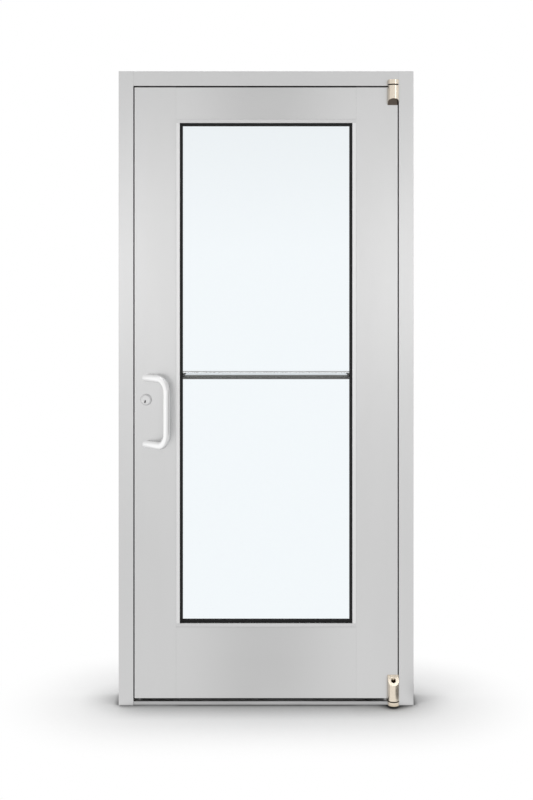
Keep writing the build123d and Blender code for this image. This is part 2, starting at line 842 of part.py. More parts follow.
with BuildPart() as bottom_rail:
    box_section(
        crosswise(-rail_half, leaf_front, leaf_bottom),
        leaf_depth,
        bottom_rail_height,
        leaf_wall,
        rail_length,
        leaf_edge,
    )
bottom_rail.part.label = "bottom_rail"
export_step(bottom_rail.part, "parts/bottom_rail.step")

# Tie rods through the rails, with a washer and a nut inside each stile
rod_half = rail_half + leaf_wall + tie_rod_tail
with BuildPart() as tie_rods:
    with BuildSketch(side_on(-rod_half)):
        with Locations(*[(leaf_mid, height) for height in tie_rod_heights]):
            Circle(tie_rod_radius)
    extrude(amount=2 * rod_half)
tie_rods.part.label = "tie_rods"
export_step(tie_rods.part, "parts/tie_rods.step")

with BuildPart() as tie_rod_nuts:
    for side in (-1, 1):
        with BuildSketch(side_on(side * (rail_half + leaf_wall))):
            with Locations(*[(leaf_mid, height) for height in tie_rod_heights]):
                Circle(tie_washer_radius)
                Circle(tie_rod_radius + thread_clearance, mode=Mode.SUBTRACT)
        extrude(amount=side * tie_washer_thickness)
        with BuildSketch(side_on(side * (rail_half + leaf_wall + tie_washer_thickness))):
            with Locations(*[(leaf_mid, height) for height in tie_rod_heights]):
                RegularPolygon(tie_nut_radius, 6)
                Circle(tie_rod_radius + thread_clearance, mode=Mode.SUBTRACT)
        extrude(amount=side * tie_nut_thickness)
tie_rod_nuts.part.label = "tie_rod_nuts"
export_step(tie_rod_nuts.part, "parts/tie_rod_nuts.step")

# Glass, standing on two setting blocks
glass_half = daylight_half + glass_bite
glass_bottom = daylight_bottom - glass_bite
glass_height = daylight_height + 2 * glass_bite
with BuildPart() as glass_pane:
    with BuildSketch(pull_side(glass_front)):
        with Locations((0, glass_bottom)):
            Rectangle(2 * glass_half, glass_height, align=(Align.CENTER, Align.MIN))
    extrude(amount=-glass_thickness)
glass_pane.part.label = "glass_pane"
export_step(glass_pane.part, "parts/glass_pane.step")

with BuildPart() as setting_blocks:
    with BuildSketch(pull_side(glass_front)):
        with Locations((0, bottom_rail_top)):
            with GridLocations(glass_half, 1, 2, 1):
                Rectangle(setting_block_length, glass_edge_gap, align=(Align.CENTER, Align.MIN))
    extrude(amount=-glass_thickness)
setting_blocks.part.label = "setting_blocks"
export_step(setting_blocks.part, "parts/setting_blocks.step")

# Glazing beads on both faces: the level ones run from stile to stile, the upright ones between them
for face, bead_front in (
    ("outer", leaf_front + bead_step),
    ("inner", leaf_back - bead_step - bead_depth),
):
    for name, bead_bottom in (("bottom", bottom_rail_top), ("top", daylight_top)):
        with BuildPart() as level_bead:
            box_section(
                crosswise(-rail_half, bead_front, bead_bottom),
                bead_depth,
                bead_height,
                bead_wall,
                rail_length,
                bead_wall / 3,
            )
        level_bead.part.label = face + "_" + name + "_bead"
        export_step(level_bead.part, "parts/" + level_bead.part.label + ".step")
    for name, bead_left in (("lock", -rail_half), ("pivot", daylight_half)):
        with BuildPart() as upright_bead:
            box_section(
                upright(bead_left, bead_front, daylight_bottom),
                bead_height,
                bead_depth,
                bead_wall,
                daylight_height,
                bead_wall / 3,
            )
        upright_bead.part.label = face + "_" + name + "_bead"
        export_step(upright_bead.part, "parts/" + upright_bead.part.label + ".step")

# Glazing gaskets: a ring held between the beads and the glass, with a thinner lip over the glass
for name, start, direction in (
    ("outer_gasket", glass_front, 1),
    ("inner_gasket", glass_back, -1),
):
    with BuildPart() as gasket:
        with BuildSketch(pull_side(start)):
            with Locations((0, daylight_middle)):
                Rectangle(2 * (daylight_half + gasket_hold), daylight_height + 2 * gasket_hold)
                Rectangle(2 * daylight_half, daylight_height, mode=Mode.SUBTRACT)
        extrude(amount=direction * gasket_thickness)
        with BuildSketch(pull_side(start)):
            with Locations((0, daylight_middle)):
                Rectangle(2 * daylight_half, daylight_height)
                Rectangle(
                    2 * (daylight_half - gasket_lip),
                    daylight_height - 2 * gasket_lip,
                    mode=Mode.SUBTRACT,
                )
        extrude(amount=direction * gasket_lip_thickness)
    gasket.part.label = name
    export_step(gasket.part, "parts/" + name + ".step")

# Pull handle: a round bar bent out from the stile at 45 degrees towards the glass
pull_start = (pull_x - pull_radius * 2, leaf_front + pull_radius * 2)
pull_end = (pull_x + pull_reach, leaf_front - pull_reach)
with BuildPart() as pull_handle:
    with BuildLine() as pull_path:
        FilletPolyline(
            (*pull_start, pull_top),
            (*pull_end, pull_top),
            (*pull_end, pull_bottom),
            (*pull_start, pull_bottom),
            radius=pull_bend,
        )
    with BuildSketch(Plane(origin=pull_path.line @ 0, z_dir=pull_path.line % 0)):
        Circle(pull_radius)
    sweep()
    split(bisect_by=pull_side(leaf_front), keep=Keep.TOP)
    with BuildSketch(pull_side(leaf_front)):
        with Locations((pull_x, pull_top), (pull_x, pull_bottom)):
            Circle(handle_stud_radius + thread_clearance)
    extrude(amount=handle_stud_bite, mode=Mode.SUBTRACT)
pull_handle.part.label = "pull_handle"
export_step(pull_handle.part, "parts/pull_handle.step")

# Push bar across the inside: a round tube bent back to both stiles, plugged at its ends
with BuildPart() as push_bar:
    with BuildLine() as push_path:
        FilletPolyline(
            (pull_x, leaf_back, pull_top),
            (pull_x, push_bar_y, pull_top),
            (-pull_x, push_bar_y, pull_top),
            (-pull_x, leaf_back, pull_top),
            radius=push_bar_bend,
        )
    with BuildSketch(Plane(origin=push_path.line @ 0, z_dir=push_path.line % 0)):
        Circle(push_bar_radius)
        Circle(push_bar_radius - push_bar_wall, mode=Mode.SUBTRACT)
    sweep()
push_bar.part.label = "push_bar"
export_step(push_bar.part, "parts/push_bar.step")

with BuildPart() as push_bar_plugs:
    with BuildSketch(pull_side(leaf_back)):
        with Locations((pull_x, pull_top), (-pull_x, pull_top)):
            Circle(push_bar_radius - push_bar_wall)
            Circle(handle_stud_radius + thread_clearance, mode=Mode.SUBTRACT)
    extrude(amount=-push_bar_plug)
push_bar_plugs.part.label = "push_bar_plugs"
export_step(push_bar_plugs.part, "parts/push_bar_plugs.step")

# Studs and bolts: one stud joins the pull and the push bar through the lock stile, a headed bolt
# holds the pull's foot, and a stud with a nut inside the pivot stile holds the bar's other end
with BuildPart() as handle_bolts:
    with BuildSketch(pull_side(leaf_back + push_bar_plug)):
        with Locations((pull_x, pull_top)):
            Circle(handle_stud_radius)
    extrude(amount=push_bar_plug + leaf_depth + handle_stud_bite)
    with BuildSketch(pull_side(leaf_back)):
        with Locations((pull_x, pull_bottom)):
            Circle(handle_stud_radius)
    extrude(amount=leaf_depth + handle_stud_bite)
    with BuildSketch(pull_side(leaf_back)):
        with Locations((pull_x, pull_bottom)):
            Circle(bolt_head_radius)
    extrude(amount=-bolt_head_height, taper=20)
    with BuildSketch(pull_side(leaf_back + bolt_head_height)):
        with Locations((pull_x, pull_bottom)):
            RegularPolygon(handle_stud_radius, 6)
    extrude(amount=bolt_head_height / 2, mode=Mode.SUBTRACT)
    with BuildSketch(pull_side(leaf_back + push_bar_plug)):
        with Locations((-pull_x, pull_top)):
            Circle(handle_stud_radius)
    extrude(amount=push_bar_plug + leaf_wall + tie_nut_thickness)
    with BuildSketch(pull_side(leaf_back - leaf_wall)):
        with Locations((-pull_x, pull_top)):
            RegularPolygon(tie_nut_radius, 6)
    extrude(amount=tie_nut_thickness)
handle_bolts.part.label = "handle_bolts"
export_step(handle_bolts.part, "parts/handle_bolts.step")

# Top pivot on the leaf: a knuckle cut away below, and an arm let into the stile's top
top_leaf_arm_reach = leaf_depth - leaf_arm_margin
with BuildPart() as top_pivot_knuckle:
    with BuildSketch(Plane.XY.offset(leaf_knuckle_top - leaf_knuckle_long)):
        knuckle_outline()
    extrude(amount=leaf_knuckle_long)
    with BuildSketch(side_on(pivot_x)):
        with BuildLine():
            Polyline(
                (leaf_front, leaf_knuckle_top - leaf_knuckle_long),
                (knuckle_nose - 1, leaf_knuckle_top - leaf_knuckle_short),
                (knuckle_nose - 1, leaf_knuckle_top - leaf_knuckle_long),
                close=True,
            )
        make_face()
    extrude(amount=knuckle_radius + 1, both=True, mode=Mode.SUBTRACT)
    with BuildSketch(Plane.XY.offset(leaf_top - arm_thickness)):
        arm_outline(top_leaf_arm_reach)
    extrude(amount=arm_thickness)
    with BuildSketch(Plane.XY.offset(leaf_knuckle_top)):
        with Locations((pivot_x, pivot_y)):
            Circle(bushing_radius)
    extrude(amount=top_bushing_bottom - leaf_knuckle_top, mode=Mode.SUBTRACT)
    with Locations((pivot_x, leaf_screw_y, leaf_top)):
        with GridLocations(arm_screw_side_spacing, screw_depth_spacing, 2, 2):
            CounterSinkHole(
                screw_radius + screw_clearance,
                screw_head_radius + screw_clearance,
                arm_thickness * 2,
            )
top_pivot_knuckle.part.label = "top_pivot_knuckle"
export_step(top_pivot_knuckle.part, "parts/top_pivot_knuckle.step")

# Bottom pivot on the leaf: a taller knuckle that slopes down to its nose
with BuildPart() as bottom_pivot_knuckle:
    with BuildSketch(Plane.XY.offset(leaf_bottom)):
        knuckle_outline()
    extrude(amount=foot_knuckle_long)
    with BuildSketch(side_on(pivot_x)):
        with BuildLine():
            Polyline(
                (leaf_front, leaf_bottom + foot_knuckle_long),
                (knuckle_nose - 1, leaf_bottom + foot_knuckle_short),
                (knuckle_nose - 1, leaf_bottom + foot_knuckle_long + 1),
                (leaf_front, leaf_bottom + foot_knuckle_long + 1),
                close=True,
            )
        make_face()
    extrude(amount=knuckle_radius + 1, both=True, mode=Mode.SUBTRACT)
    with BuildSketch(Plane.XY.offset(leaf_bottom)):
        arm_outline(top_leaf_arm_reach)
    extrude(amount=arm_thickness)
    with BuildSketch(Plane.XY.offset(leaf_bottom)):
        with Locations((pivot_x, pivot_y)):
            Circle(bushing_radius)
    extrude(amount=foot_bushing_top - leaf_bottom, mode=Mode.SUBTRACT)
    with Locations((pivot_x, pivot_y, leaf_bottom)):
        Hole(socket_radius)
    with Locations(Plane(origin=(pivot_x, leaf_screw_y, leaf_bottom), z_dir=(0, 0, -1))):
        with GridLocations(arm_screw_side_spacing, screw_depth_spacing, 2, 2):
            CounterSinkHole(
                screw_radius + screw_clearance,
                screw_head_radius + screw_clearance,
                arm_thickness * 2,
            )
bottom_pivot_knuckle.part.label = "bottom_pivot_knuckle"
export_step(bottom_pivot_knuckle.part, "parts/bottom_pivot_knuckle.step")

# Flanged bushings that turn on the two pins, and the adjusting screw above the lower pin
with BuildPart() as pivot_bushings:
    with BuildSketch(Plane.XY.offset(top_bushing_bottom)):
        with Locations((pivot_x, pivot_y)):
            Circle(bushing_radius)
            Circle(bushing_bore, mode=Mode.SUBTRACT)
    extrude(amount=leaf_knuckle_top - top_bushing_bottom)
    with BuildSketch(Plane.XY.offset(leaf_bottom)):
        with Locations((pivot_x, pivot_y)):
            Circle(bushing_radius)
            Circle(bushing_bore, mode=Mode.SUBTRACT)
    extrude(amount=foot_bushing_top - leaf_bottom)
    for flange_bottom in (leaf_knuckle_top, leaf_bottom - flange_thickness):
        with BuildSketch(Plane.XY.offset(flange_bottom)):
            with Locations((pivot_x, pivot_y)):
                Circle(bushing_flange)
                Circle(bushing_bore, mode=Mode.SUBTRACT)
        extrude(amount=flange_thickness)
pivot_bushings.part.label = "pivot_bushings"
export_step(pivot_bushings.part, "parts/pivot_bushings.step")

with BuildPart() as adjusting_screw:
    with BuildSketch(Plane.XY.offset(foot_bushing_top)):
        with Locations((pivot_x, pivot_y)):
            Circle(socket_radius)
    extrude(amount=adjuster_length)
    with BuildSketch(Plane.XY.offset(foot_bushing_top + adjuster_length)):
        with Locations((pivot_x, pivot_y)):
            RegularPolygon(socket_radius / 2, 6)
    extrude(amount=-adjuster_length / 2, mode=Mode.SUBTRACT)
adjusting_screw.part.label = "adjusting_screw"
export_step(adjusting_screw.part, "parts/adjusting_screw.step")

# Blocks inside the pivot stile that take the arms' screws
block_left = leaf_half - leaf_wall - pivot_block_length
with BuildPart() as pivot_blocks:
    for block_bottom in (
        leaf_bottom + arm_thickness,
        leaf_top - arm_thickness - pivot_block_height,
    ):
        with BuildSketch(upright(block_left, leaf_front + leaf_wall, block_bottom)):
            Rectangle(pivot_block_length, leaf_depth - 2 * leaf_wall, align=(Align.MIN, Align.MIN))
        extrude(amount=pivot_block_height)
    with Locations((pivot_x, leaf_screw_y, leaf_top)):
        with GridLocations(arm_screw_side_spacing, screw_depth_spacing, 2, 2):
            Hole(screw_radius + thread_clearance, leaf_height)
pivot_blocks.part.label = "pivot_blocks"
export_step(pivot_blocks.part, "parts/pivot_blocks.step")

arm_screw = countersunk_screw(screw_radius, screw_head_radius, arm_thickness + 4 * screw_radius)
with BuildPart() as leaf_pivot_screws:
    with Locations(
        Plane(origin=(pivot_x, leaf_screw_y, leaf_top), z_dir=(0, 0, 1)),
        Plane(origin=(pivot_x, leaf_screw_y, leaf_bottom), z_dir=(0, 0, -1)),
    ):
        with GridLocations(arm_screw_side_spacing, screw_depth_spacing, 2, 2):
            add(arm_screw)
leaf_pivot_screws.part.label = "leaf_pivot_screws"
export_step(leaf_pivot_screws.part, "parts/leaf_pivot_screws.step")

# Lock case: a thin box open towards the leaf's edge, with ears behind the faceplate
with BuildPart() as lock_case:
    with BuildSketch(side_on(case_left)):
        with Locations((leaf_mid, lock_middle)):
            Rectangle(case_thickness, case_height)
    extrude(amount=case_length)
    with BuildSketch(side_on(case_left)):
        with Locations((leaf_mid, lock_middle)):
            Rectangle(case_thickness - 2 * case_wall, case_height - 2 * case_wall)
    extrude(amount=case_length - case_wall, mode=Mode.SUBTRACT)
    ear_middle = (case_height + faceplate_height) / 4 + case_ear / 2
    ear_height = faceplate_height / 2 + case_ear - case_height / 2
    with BuildSketch(side_on(case_left)):
        with Locations((leaf_mid, lock_middle + ear_middle), (leaf_mid, lock_middle - ear_middle)):
            Rectangle(case_thickness, ear_height)
        with Locations((leaf_mid, lock_middle)):
            with GridLocations(1, faceplate_screw_spacing, 1, 2):
                Circle(screw_radius + thread_clearance, mode=Mode.SUBTRACT)
    extrude(amount=case_ear_thickness)
    with BuildSketch(pull_side(leaf_mid)):
        with Locations((cylinder_x, cylinder_height)):
            Circle(cylinder_radius + thread_clearance)
    extrude(amount=case_thickness, both=True, mode=Mode.SUBTRACT)
    with BuildSketch(pull_side(leaf_mid)):
        with Locations((bolt_x, bolt_z)):
            Circle(bolt_pin_radius)
    extrude(amount=case_thickness, both=True, mode=Mode.SUBTRACT)
lock_case.part.label = "lock_case"
export_step(lock_case.part, "parts/lock_case.step")

with BuildPart() as bolt_pivot_pin:
    with BuildSketch(pull_side(case_front + case_thickness)):
        with Locations((bolt_x, bolt_z)):
            Circle(bolt_pin_radius)
    extrude(amount=case_thickness)
bolt_pivot_pin.part.label = "bolt_pivot_pin"
export_step(bolt_pivot_pin.part, "parts/bolt_pivot_pin.step")

# Bolt: a laminated blade that hangs from its pin and swings up and out, with a short tail above
with BuildPart() as lock_bolt:
    with BuildSketch(pull_side(leaf_mid)):
        with Locations((bolt_x, bolt_z)):
            Circle(bolt_reach)
            Rectangle(bolt_width, bolt_reach, align=(Align.CENTER, Align.MAX), mode=Mode.INTERSECT)
            Circle(bolt_width / 2)
            Rectangle(bolt_tail_width, bolt_tail, align=(Align.CENTER, Align.MIN))
            Circle(bolt_pin_radius + running_clearance, mode=Mode.SUBTRACT)
    extrude(amount=bolt_thickness / 2, both=True)
    plate_count = round(bolt_thickness / bolt_lamination)
    for joint in range(1, plate_count):
        joint_y = leaf_mid - bolt_thickness / 2 + joint * bolt_thickness / plate_count
        with BuildSketch(pull_side(joint_y)):
            with Locations((bolt_x, bolt_z)):
                Circle(bolt_reach)
                Circle(bolt_reach - bolt_groove, mode=Mode.SUBTRACT)
                Rectangle(
                    bolt_width, bolt_reach, align=(Align.CENTER, Align.MAX), mode=Mode.INTERSECT
                )
        extrude(amount=bolt_groove / 2, both=True, mode=Mode.SUBTRACT)
lock_bolt.part.label = "lock_bolt"
export_step(lock_bolt.part, "parts/lock_bolt.step")

# Faceplate in the leaf's edge, with the slot that the bolt swings through
face_slot_bottom, face_slot_top = slot_span(bolt_backset - leaf_wall)
with BuildPart() as lock_faceplate:
    with BuildSketch(side_on(-leaf_half)):
        with Locations((leaf_mid, lock_middle)):
            Rectangle(faceplate_width, faceplate_height)
        with Locations((leaf_mid, (face_slot_bottom + face_slot_top) / 2)):
            Rectangle(
                bolt_thickness + 2 * bolt_side_clearance,
                face_slot_top - face_slot_bottom,
                mode=Mode.SUBTRACT,
            )
    extrude(amount=leaf_wall)
    with Locations(Plane(origin=(-leaf_half, leaf_mid, lock_middle), x_dir=(0, -1, 0), z_dir=(-1, 0, 0))):
        with GridLocations(1, faceplate_screw_spacing, 1, 2):
            CounterSinkHole(
                screw_radius + screw_clearance, screw_head_radius + screw_clearance, leaf_wall * 2
            )
lock_faceplate.part.label = "lock_faceplate"
export_step(lock_faceplate.part, "parts/lock_faceplate.step")

faceplate_screw = countersunk_screw(
    screw_radius, screw_head_radius, leaf_wall + case_ear_thickness + screw_radius
)
with BuildPart() as faceplate_screws:
    with Locations(Plane(origin=(-leaf_half, leaf_mid, lock_middle), x_dir=(0, -1, 0), z_dir=(-1, 0, 0))):
        with GridLocations(1, faceplate_screw_spacing, 1, 2):
            add(faceplate_screw)
faceplate_screws.part.label = "faceplate_screws"
export_step(faceplate_screws.part, "parts/faceplate_screws.step")

# Collars around the two cylinders: a tall tapered one outside, a low one inside
with BuildPart() as cylinder_collars:
    for face, height in ((leaf_front, collar_height), (leaf_back, inner_collar_height)):
        outward = 1 if face == leaf_front else -1
        face_plane = Plane(
            origin=(cylinder_x, face, cylinder_height), x_dir=(1, 0, 0), z_dir=(0, -outward, 0)
        )
        with BuildSketch(face_plane):
            Circle(collar_radius)
        with BuildSketch(face_plane.offset(height)):
            Circle(collar_front_radius)
        loft()
        with BuildSketch(face_plane):
            Circle(cylinder_radius + cylinder_clearance)
        extrude(amount=height, mode=Mode.SUBTRACT)
cylinder_collars.part.label = "cylinder_collars"
export_step(cylinder_collars.part, "parts/cylinder_collars.step")

# Threaded cylinders, each with a flat head and a bore for its plug below the middle
with BuildPart() as lock_cylinders:
    with BuildSketch(pull_side(cylinder_front_end)):
        with Locations((cylinder_x, cylinder_height)):
            Circle(cylinder_radius)
    extrude(amount=cylinder_front_end - collar_face)
    with BuildSketch(pull_side(collar_face)):
        with Locations((cylinder_x, cylinder_height)):
            Circle(cylinder_head_radius)
    extrude(amount=cylinder_head_height, taper=15)
    with BuildSketch(pull_side(cylinder_back_end)):
        with Locations((cylinder_x, cylinder_height)):
            Circle(cylinder_radius)
    extrude(amount=cylinder_back_end - inner_collar_face)
    with BuildSketch(pull_side(inner_collar_face)):
        with Locations((cylinder_x, cylinder_height)):
            Circle(cylinder_head_radius)
    extrude(amount=-cylinder_head_height, taper=15)
    with BuildSketch(pull_side(leaf_mid)):
        with Locations((key_x, key_z)):
            Circle(plug_radius + running_clearance)
    extrude(amount=leaf_depth, mode=Mode.SUBTRACT)
    with BuildSketch(pull_side(leaf_mid)):
        with Locations((turn_x, turn_z)):
            Circle(plug_radius + running_clearance)
    extrude(amount=-leaf_depth, mode=Mode.SUBTRACT)
lock_cylinders.part.label = "lock_cylinders"
export_step(lock_cylinders.part, "parts/lock_cylinders.step")

# Key plug, with its keyway in front and its cam inside the case
with BuildPart() as key_plug:
    key_plane = Plane(origin=(key_x, head_face, key_z), x_dir=(1, 0, 0), z_dir=(0, -1, 0))
    with BuildSketch(key_plane):
        Circle(plug_radius)
    extrude(amount=head_face - cylinder_front_end - cam_thickness)
    with BuildSketch(key_plane.offset(head_face - cylinder_front_end)):
        Circle(cam_hub_radius)
        Rectangle(plug_radius, cam_reach, align=(Align.CENTER, Align.MAX))
    extrude(amount=-cam_thickness)
    with BuildSketch(key_plane):
        Rectangle(key_slot_width, key_slot_height, rotation=-cylinder_turn)
    extrude(amount=-key_slot_depth, mode=Mode.SUBTRACT)
key_plug.part.label = "key_plug"
export_step(key_plug.part, "parts/key_plug.step")

# Thumb turn, on a plug of the same size with its own cam
with BuildPart() as thumb_turn:
    turn_plane = Plane(origin=(turn_x, inner_head_face, turn_z), x_dir=(1, 0, 0), z_dir=(0, 1, 0))
    with BuildSketch(turn_plane):
        Circle(plug_radius)
    extrude(amount=cylinder_back_end - cam_thickness - inner_head_face)
    with BuildSketch(turn_plane.offset(cylinder_back_end - inner_head_face)):
        Circle(cam_hub_radius)
        Rectangle(plug_radius, cam_reach, align=(Align.CENTER, Align.MIN))
    extrude(amount=-cam_thickness)
    with BuildSketch(turn_plane):
        Circle(turn_rose_radius)
    extrude(amount=turn_rose_height)
    with BuildSketch(turn_plane.offset(turn_rose_height)):
        SlotOverall(turn_length, turn_width, rotation=90)
    extrude(amount=turn_depth - turn_rose_height, taper=4)
thumb_turn.part.label = "thumb_turn"
export_step(thumb_turn.part, "parts/thumb_turn.step")

# Sweep along the inside of the bottom rail: a rubber blade clamped by a hooked strip
sweep_left = -leaf_half + sweep_lock_inset
sweep_length = 2 * leaf_half - sweep_lock_inset - sweep_pivot_inset
with BuildPart() as bottom_sweep:
    with BuildSketch(side_on(sweep_left)):
        with Locations((leaf_back, threshold_height + sweep_floor_clearance)):
            Rectangle(
                sweep_blade_thickness,
                sweep_blade_top - threshold_height - sweep_floor_clearance,
                align=(Align.MIN, Align.MIN),
            )
    extrude(amount=sweep_length)
bottom_sweep.part.label = "bottom_sweep"
export_step(bottom_sweep.part, "parts/bottom_sweep.step")

with BuildPart() as sweep_carrier:
    with BuildSketch(side_on(sweep_left)):
        with BuildLine():
            Polyline(
                (leaf_back, sweep_blade_top),
                (leaf_back, sweep_carrier_top),
                (leaf_back + sweep_carrier_depth, sweep_carrier_top),
                (leaf_back + sweep_carrier_depth, sweep_carrier_bottom),
                (leaf_back + sweep_blade_thickness, sweep_carrier_bottom),
                (leaf_back + sweep_blade_thickness, sweep_blade_top),
                close=True,
            )
        make_face()
    extrude(amount=sweep_length)
sweep_carrier.part.label = "sweep_carrier"
export_step(sweep_carrier.part, "parts/sweep_carrier.step")
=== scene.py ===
import json
import math

import bpy
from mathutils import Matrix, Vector


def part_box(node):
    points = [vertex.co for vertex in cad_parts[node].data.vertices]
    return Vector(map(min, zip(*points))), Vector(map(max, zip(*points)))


# A glass entrance door of satin aluminium in its own frame, in a pale studio, seen square on from
# the pull side. Metres: +X to the right, +Y into the building, +Z up, the floor at zero.

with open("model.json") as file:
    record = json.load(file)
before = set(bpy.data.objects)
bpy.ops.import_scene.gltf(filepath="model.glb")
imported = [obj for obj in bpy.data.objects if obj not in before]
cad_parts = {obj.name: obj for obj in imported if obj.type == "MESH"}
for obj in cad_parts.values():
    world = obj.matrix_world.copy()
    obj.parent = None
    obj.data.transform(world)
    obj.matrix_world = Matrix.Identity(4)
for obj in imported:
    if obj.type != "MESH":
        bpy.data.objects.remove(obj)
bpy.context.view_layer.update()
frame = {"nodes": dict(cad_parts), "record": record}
X_AXIS, Z_AXIS = 0, 2

# The photograph's frame in pixels, and where its camera stood in metres
IMAGE_WIDTH = 533
IMAGE_HEIGHT = 800
HORIZON_ROW = 249.5
MIDDLE_COLUMN = 266.1
PIXELS_PER_METRE = 290.3
CAMERA_DISTANCE = 4.5
CAMERA_HEIGHT = 1.57
SENSOR = 36.0
FARTHEST_SEEN = 100.0

# Lamps: where each stands, the point that it faces, its width and height, and its power in watts
OVERHEAD_LAMP = ((0, 0.17, 4.6), (0, 0.17, 0), (4.0, 0.46), 24.0)
SIDE_LAMPS = [
    ((side * 1.35, -7.0, 1.45), (side * 0.5, 0, 1.45), (0.6, 1.6), 5.0) for side in (-1, 1)
]
LEFT_LAMP = ((-3.6, -3.1, 1.25), (-0.3, 0, 1.0), (1.8, 1.0), 62.0)
RIGHT_LAMP = ((3.5, -3.5, 2.85), (0.4, 0, 2.1), (0.8, 0.8), 7.0)

# A dark card at the right for round metal to mirror: its place, the point it faces, and its size
CARD = ((3.2, -2.6, 0.75), (0, 0, 0.75), (1.6, 2.1))
CARD_TONE = 0.05

# The white surround's strength for light that falls, and its strength overhead in mirrors, which
# it reaches at a height of 0.18, the sine of an angle above level
AMBIENT = 0.80
CEILING = 0.88
CEILING_HEIGHT = 0.18

# The same for what metal behind the glass mirrors: by height through the glass, and all over at
# the door's back
FRONT_BEHIND_GLASS = ((0.0, 0.13), (0.19, 0.51), (0.50, 1.0), (0.90, 1.0), (0.97, 0.40))
BACK_BEHIND_GLASS = 0.40

# The pane has two faces. A ray behind it has crossed more faces than the first of these, and a ray
# that has come back to its front has crossed more than the second.
BEHIND_PANE = 1.5
BACK_THROUGH_PANE = 2.5

# The floor. A pair is the distances in metres at which a tone starts to turn and has turned.
FLOOR_SIZE = 60
FLOOR_TONE = 0.92
FLOOR_FADE = (0.12, 0.55)
FLOOR_SHADE_WIDTH = 0.42
# Painted shadow on the floor: its tone darkens near the door, and to a dark line where it meets it
CONTACT_REACH = 0.15
CONTACT_SHADOW_SHARE = 0.3
CREASE_REACH = 0.035
CREASE_SHADOW_TONE = 0.08
CREASE_END = (0.50, 0.53)
# How the floor glows in mirrors: dark near the door and darker beside its right end, a painted
# dark reflection
FLOOR_FADE_IN_METAL = (0.0, 0.13)
FLOOR_DARK_IN_METAL = 0.45
FLOOR_DARK_BESIDE = (0.50, 0.56)
DARK_BESIDE_DEPTH = 0.26
DARK_BESIDE_WIDTH = 0.72
DARK_BESIDE_SHARE = 0.8
# The floor's dark glow in mirrors behind the glass: painted dark reflection
FLOOR_BEHIND_GLASS = (0.095, 0.090, 0.078)
FADE_BEHIND_GLASS = (0.2, 1.1)
NEAR_BEHIND_GLASS = 0.25

# A noise counts as dark below the first value and as light above the second
NOISE_SPAN = (0.3, 0.7)

# Depths of brushed lines, and how far the painted shade in joints and on the pivots' sides reaches
# out of corners, in metres
BRUSHED_LINES = 0.000005
POLISHED_LINES = 0.000001
JOINT_SHADE_REACH = 0.012
PIVOT_SIDE_SHADE_REACH = 0.035


def grey(tone):
    """A neutral colour."""
    return (tone, tone, tone)


ANODISED = grey(0.63)
# The header's tone, a little darker than the uprights: painted shade
HEADER_SHADE = grey(0.61)
# The rails' tone in the door's middle, darker than the stiles: painted shade
RAIL_SHADED_MIDDLE = grey(0.55)
UPRIGHT_BEAD = grey(0.74)
# The level beads in a darker tone than the upright ones: painted shade
LEVEL_BEAD_SHADE = grey(0.615)
PULL = grey(0.90)
# Painted shade on the pull's side towards the glass, a painted dark reflection on its edge, and
# painted light on its back
PULL_RIGHT_SHADE = grey(0.68)
PULL_EDGE_DARK_REFLECTION = grey(0.42)
PULL_BACK_LIGHT = grey(0.98)
PUSH_BAR = (0.96, 0.935, 0.92)
NICKEL = (0.80, 0.71, 0.59)
# Painted shade for the pivots' sides and corners
PIVOT_SIDE_SHADE = (0.40, 0.31, 0.20)
# Painted shade under the pivots
PIVOT_UNDERSIDE_SHADE = (0.15, 0.12, 0.095)
# Painted shade for narrow joints
JOINT_SHADE_TONE = grey(0.02)
# The bushing painted near black: painted shade in the gap at the pivot
BUSHING_SHADE = (0.03, 0.024, 0.018)
ZINC = (0.52, 0.53, 0.55)
GLASS = (0.895, 0.94, 0.965)

# The rails turn from their darker middle, a painted shade, to the stiles' tone between these
# distances from the door's middle
RAIL_SHADE_ENDS = (0.02, 0.32)

# The key plug: its face, its axis in X and Z, the depths at which the painted shade in its slot
# starts and is full, and the half width and half height of the painted shade round the slot
KEY_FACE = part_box("key_plug")[0].y
KEY_AXIS = (-0.4159, 1.0470)
KEY_SLOT_DEPTHS = (0.0003, 0.0007)
KEY_SLOT_SHADE_PATCH = (0.0030, 0.0062)


def link(tree, output, target):
    """Join a node's output to another node's input."""
    tree.links.new(output, target)


def set_input(tree, socket, value):
    """Give an input a number, a colour or another node's output."""
    if isinstance(value, (int, float)):
        socket.default_value = value
    elif isinstance(value, tuple):
        socket.default_value = (*value, 1)
    else:
        link(tree, value, socket)


def new_material(name):
    """A node material, with its node tree and its shader."""
    material = bpy.data.materials.new(name)
    material.use_nodes = True
    return material, material.node_tree, material.node_tree.nodes["Principled BSDF"]


def coordinates(tree, kind):
    """The X, Y and Z of a place or a direction."""
    place = tree.nodes.new("ShaderNodeTexCoord")
    split = tree.nodes.new("ShaderNodeSeparateXYZ")
    link(tree, place.outputs[kind], split.inputs["Vector"])
    return split.outputs


def noise(tree, scale, detail=3.0, roughness=0.5):
    """Noise in the piece's own metres, with a scale of its own along X, Y and Z."""
    place = tree.nodes.new("ShaderNodeTexCoord")
    stretch = tree.nodes.new("ShaderNodeMapping")
    stretch.inputs["Scale"].default_value = scale
    texture = tree.nodes.new("ShaderNodeTexNoise")
    texture.inputs["Scale"].default_value = 1.0
    texture.inputs["Detail"].default_value = detail
    texture.inputs["Roughness"].default_value = roughness
    link(tree, place.outputs["Object"], stretch.inputs["Vector"])
    link(tree, stretch.outputs["Vector"], texture.inputs["Vector"])
    return texture.outputs["Fac"]


